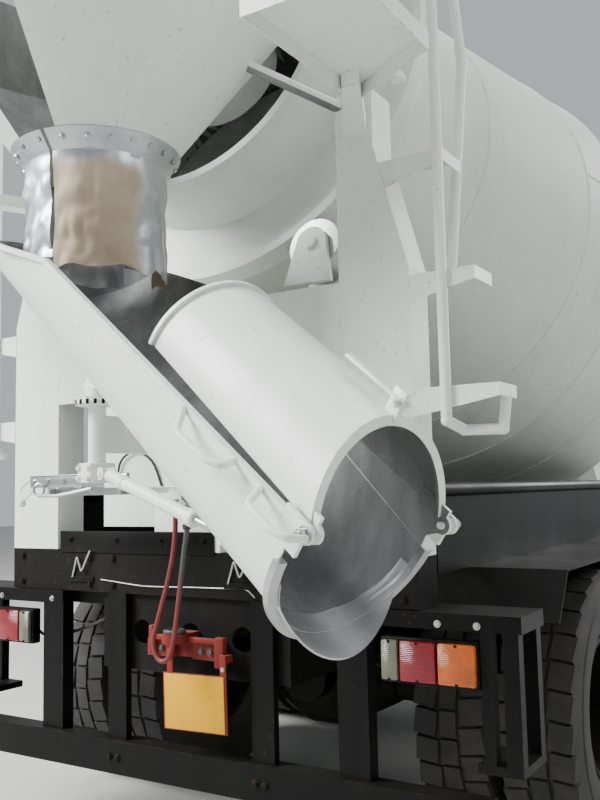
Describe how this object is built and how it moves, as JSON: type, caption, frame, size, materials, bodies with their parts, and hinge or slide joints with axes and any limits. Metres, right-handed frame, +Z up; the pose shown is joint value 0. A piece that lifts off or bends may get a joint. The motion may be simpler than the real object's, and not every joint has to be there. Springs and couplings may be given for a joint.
{
  "type": "concrete mixer truck",
  "caption": "Concrete mixer truck with a tilted drum on a rear stand, charge hopper, ladders and a folding discharge chute on a swivel.",
  "frame": {"origin": "on the ground under the middle of the truck's box", "axes": "+X forwards, +Y to the truck's left, +Z up"},
  "size_m": [8.3837, 2.8, 3.8762],
  "materials": {
    "bare_steel": "worn bare steel",
    "black_paint": "semi-matt chassis paint",
    "cast": "oily casting",
    "clear_glass": "clear",
    "dark_trim": "grained trim",
    "hose_rubber": "smooth hose",
    "lamp_lens": "moulded lens",
    "red_paint": "faded paint",
    "tyre_rubber": "dusty tread",
    "white_paint": "satin paint, worn at the edges"
  },
  "bodies": {
    "chassis": {"frame_rails": "black_paint", "mixer_subframe": "black_paint", "roller_beam": "white_paint", "post_left": "white_paint", "post_right": "white_paint", "front_pedestal": "white_paint", "drum_gearbox": "cast", "engine": "cast", "driveline": "cast", "rear_bogie": "black_paint", "front_axle": "black_paint", "fuel_tank": "bare_steel", "air_rack": "black_paint", "silencer": "bare_steel", "water_tank": "white_paint", "mudguard_left": "black_paint", "mudguard_right": "black_paint", "tail_shelf_left": "black_paint", "tail_shelf_right": "black_paint", "tail_lamps": "lamp_lens", "underrun_bar": "black_paint", "tow_bracket": "red_paint", "service_platform": "white_paint", "ladder_left": "white_paint", "ladder_right": "white_paint", "charge_hopper": "white_paint", "flow_guides": "white_paint", "skirt_sheets": "bare_steel", "control_linkage": "bare_steel", "chute_pedestal": "white_paint", "front_bumper": "white_paint", "hose": "hose_rubber"},
    "cab": {"cab_shell": "white_paint", "cab_glass": "clear_glass", "cab_interior": "dark_trim", "mirrors": "dark_trim"},
    "door_left": {"door_left": "white_paint"},
    "door_right": {"door_right": "white_paint"},
    "knuckle_left": {"knuckle_left": "cast"},
    "knuckle_right": {"knuckle_right": "cast"},
    "wheel_front_left": {"wheel_front_left": "tyre_rubber"},
    "wheel_front_right": {"wheel_front_right": "tyre_rubber"},
    "wheel_mid_left": {"wheel_mid_left": "tyre_rubber"},
    "wheel_mid_right": {"wheel_mid_right": "tyre_rubber"},
    "wheel_rear_left": {"wheel_rear_left": "tyre_rubber"},
    "wheel_rear_right": {"wheel_rear_right": "tyre_rubber"},
    "drum": {"drum_shell": "white_paint", "drum_blades": "bare_steel"},
    "roller_left": {"roller_left": "bare_steel"},
    "roller_right": {"roller_right": "bare_steel"},
    "swivel": {"chute_column": "white_paint"},
    "chute": {"main_chute": "white_paint", "chute_lip": "bare_steel"},
    "extension": {"extension_chute": "white_paint"},
    "jack_tube": {"jack_tube": "white_paint"},
    "jack_rod": {"jack_rod": "bare_steel"}
  },
  "joints": [
    {"name": "cab_tilt", "type": "hinge", "parent": "chassis", "child": "cab", "pos_m": [3.95, 0, 1.05], "axis": [0, 1, 0], "range_deg": [0, 45]},
    {"name": "door_left_hinge", "type": "hinge", "parent": "cab", "child": "door_left", "pos_m": [3.887, 1.204, 1.5], "axis": [0, 0, -1], "range_deg": [0, 65]},
    {"name": "door_right_hinge", "type": "hinge", "parent": "cab", "child": "door_right", "pos_m": [3.887, -1.204, 1.5], "axis": [0, 0, 1], "range_deg": [0, 65]},
    {"name": "steer_left", "type": "hinge", "parent": "chassis", "child": "knuckle_left", "pos_m": [2.81, 0.865, 0.52], "axis": [0, 0, 1], "range_deg": [-35, 35]},
    {"name": "steer_right", "type": "hinge", "parent": "chassis", "child": "knuckle_right", "pos_m": [2.81, -0.865, 0.52], "axis": [0, 0, 1], "range_deg": [-35, 35]},
    {"name": "spin_front_left", "type": "hinge", "parent": "knuckle_left", "child": "wheel_front_left", "pos_m": [2.81, 1.03, 0.52], "axis": [0, 1, 0], "continuous": true},
    {"name": "spin_front_right", "type": "hinge", "parent": "knuckle_right", "child": "wheel_front_right", "pos_m": [2.81, -1.03, 0.52], "axis": [0, 1, 0], "continuous": true},
    {"name": "spin_mid_left", "type": "hinge", "parent": "chassis", "child": "wheel_mid_left", "pos_m": [-0.72, 0.92, 0.52], "axis": [0, 1, 0], "continuous": true},
    {"name": "spin_mid_right", "type": "hinge", "parent": "chassis", "child": "wheel_mid_right", "pos_m": [-0.72, -0.92, 0.52], "axis": [0, 1, 0], "continuous": true},
    {"name": "spin_rear_left", "type": "hinge", "parent": "chassis", "child": "wheel_rear_left", "pos_m": [-2.02, 0.92, 0.52], "axis": [0, 1, 0], "continuous": true},
    {"name": "spin_rear_right", "type": "hinge", "parent": "chassis", "child": "wheel_rear_right", "pos_m": [-2.02, -0.92, 0.52], "axis": [0, 1, 0], "continuous": true},
    {"name": "drum_spin", "type": "hinge", "parent": "chassis", "child": "drum", "pos_m": [-0.965, 0, 2.625], "axis": [0.9763, 0, -0.2164], "continuous": true},
    {"name": "roller_left_spin", "type": "hinge", "parent": "chassis", "child": "roller_left", "pos_m": [-2.93374, 0.51169, 2.2227], "axis": [0.9763, 0, -0.2164], "continuous": true},
    {"name": "roller_right_spin", "type": "hinge", "parent": "chassis", "child": "roller_right", "pos_m": [-2.93374, -0.51169, 2.2227], "axis": [0.9763, 0, -0.2164], "continuous": true},
    {"name": "chute_swivel", "type": "hinge", "parent": "chassis", "child": "swivel", "pos_m": [-3.53, 0, 1.6], "axis": [0, 0, -1], "range_deg": [0, 160]},
    {"name": "chute_pitch", "type": "hinge", "parent": "swivel", "child": "chute", "pos_m": [-3.53, 0, 1.8], "axis": [0.9613, -0.2756, 0], "range_deg": [-12, 4]},
    {"name": "extension_fold", "type": "hinge", "parent": "chute", "child": "extension", "pos_m": [-3.87362, -1.19835, 1.28757], "axis": [0.9613, -0.2756, 0], "range_deg": [0, 180]},
    {"name": "jack_tube_hinge", "type": "hinge", "parent": "swivel", "child": "jack_tube", "pos_m": [-3.54654, -0.05768, 1.44], "axis": [0.9613, -0.2756, 0], "range_deg": [-22, 10]},
    {"name": "jack_rod_slide", "type": "slide", "parent": "jack_tube", "child": "jack_rod", "axis": [-0.2648, -0.9233, -0.2781], "range_m": [-0.05, 0.1]}
  ],
  "couplings": [
    {"joint": "steer_right", "follows": "steer_left", "ratio": 1},
    {"joint": "roller_left_spin", "follows": "drum_spin", "ratio": -8.65},
    {"joint": "roller_right_spin", "follows": "drum_spin", "ratio": -8.65},
    {"joint": "jack_tube_hinge", "follows": "chute_pitch", "ratio": 1.1885},
    {"joint": "jack_rod_slide", "follows": "chute_pitch", "m_per_rad": -0.34142}
  ]
}
